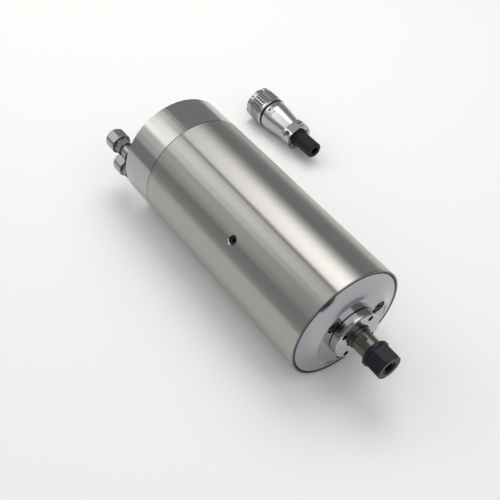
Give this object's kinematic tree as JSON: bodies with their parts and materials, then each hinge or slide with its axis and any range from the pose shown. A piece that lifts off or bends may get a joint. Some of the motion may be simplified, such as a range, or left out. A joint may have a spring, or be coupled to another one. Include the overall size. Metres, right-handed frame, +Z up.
{
  "type": "motor spindle",
  "caption": "Round water cooled milling motor with a small collet nose, hose fittings at the rear and a loose power plug.",
  "frame": {"origin": "on the spindle axis, in the plane of the body's front end", "axes": "+X along the spindle axis towards the tool, +Z up from the bench that the motor lies on, +Y towards the loose plug"},
  "size_m": [0.2605, 0.1536, 0.082],
  "materials": {
    "brushed_steel": "brushed",
    "polished_steel": "polished",
    "chrome": "bright",
    "bearing_steel": "ground",
    "dark_steel": "satin",
    "black_steel": "blackened satin",
    "zinc_steel": "plated",
    "aluminium": "turned",
    "laminations": "matte",
    "winding": "varnished",
    "brass": "satin",
    "black_rubber": "matte",
    "insulator": "matte"
  },
  "bodies": {
    "housing": {"housing_tube": "brushed_steel", "side_lock_screw": "black_steel", "front_cover": "polished_steel", "front_cover_screws": "black_steel", "front_bearing_housing": "aluminium", "front_oring": "black_rubber", "bearing_lock_ring": "chrome", "front_outer_rings": "bearing_steel", "outer_spacer": "bearing_steel", "rear_outer_ring": "bearing_steel", "water_jacket": "aluminium", "stator_core": "laminations", "stator_winding": "winding", "rear_bearing_bracket": "aluminium", "preload_spring": "bearing_steel", "rear_cover": "polished_steel", "rear_oring": "black_rubber", "rear_cover_screws": "black_steel", "port_washers": "brass", "upper_fitting": "chrome", "lower_fitting": "chrome", "socket_shell": "chrome", "socket_nut": "chrome", "socket_insert": "insulator", "socket_pins": "brass"},
    "rotor": {"shaft": "dark_steel", "rotor_core": "laminations", "rotor_end_rings": "aluminium", "front_inner_rings": "bearing_steel", "inner_spacer": "bearing_steel", "rear_inner_ring": "bearing_steel", "shaft_lock_nut": "bearing_steel", "circlip": "bearing_steel"},
    "front_ball_set": {"front_balls": "bearing_steel", "front_cages": "brass"},
    "rear_ball_set": {"rear_balls": "bearing_steel", "rear_cage": "brass"},
    "collet": {"collet": "dark_steel"},
    "collet_nut": {"collet_nut": "black_steel"},
    "upper_hose_nut": {"upper_hose_nut": "chrome"},
    "lower_hose_nut": {"lower_hose_nut": "chrome"},
    "plug": {"plug_barrel": "brass", "plug_insert": "insulator", "plug_contacts": "brass", "plug_shell": "chrome", "plug_seal": "black_rubber", "clamp_saddle": "chrome", "clamp_screws": "zinc_steel", "cable_sleeve": "black_rubber", "plug_set_screw": "black_steel"},
    "plug_ring": {"plug_ring": "chrome"}
  },
  "joints": [
    {"name": "spindle_spin", "type": "hinge", "parent": "housing", "child": "rotor", "pos_m": [0, 0, 0], "axis": [1, 0, 0], "continuous": true},
    {"name": "front_balls_roll", "type": "hinge", "parent": "housing", "child": "front_ball_set", "pos_m": [0, 0, 0], "axis": [1, 0, 0], "continuous": true},
    {"name": "rear_balls_roll", "type": "hinge", "parent": "housing", "child": "rear_ball_set", "pos_m": [0, 0, 0], "axis": [1, 0, 0], "continuous": true},
    {"name": "nut_turn", "type": "hinge", "parent": "collet", "child": "collet_nut", "pos_m": [0, 0, 0], "axis": [1, 0, 0], "range_deg": [0, 1081]},
    {"name": "collet_slide", "type": "slide", "parent": "rotor", "child": "collet", "axis": [1, 0, 0], "range_m": [0, 0.00225]},
    {"name": "upper_hose_nut_turn", "type": "hinge", "parent": "housing", "child": "upper_hose_nut", "pos_m": [-0.2125, -0.03332, 0.00893], "axis": [-1, 0, 0], "range_deg": [0, 1440]},
    {"name": "lower_hose_nut_turn", "type": "hinge", "parent": "housing", "child": "lower_hose_nut", "pos_m": [-0.2125, -0.03101, -0.01512], "axis": [-1, 0, 0], "range_deg": [0, 1440]},
    {"name": "plug_lift", "type": "slide", "parent": "housing", "child": "plug", "axis": [0, 0, 1], "range_m": [0, 0.2]},
    {"name": "plug_ring_turn", "type": "hinge", "parent": "plug", "child": "plug_ring", "pos_m": [-0.22, 0.0996, -0.028], "axis": [1, 0, 0], "continuous": true}
  ],
  "couplings": [
    {"joint": "front_balls_roll", "follows": "spindle_spin", "ratio": 0.403},
    {"joint": "rear_balls_roll", "follows": "spindle_spin", "ratio": 0.403},
    {"joint": "nut_turn", "follows": "collet_slide", "rad_per_m": 8377.6}
  ]
}
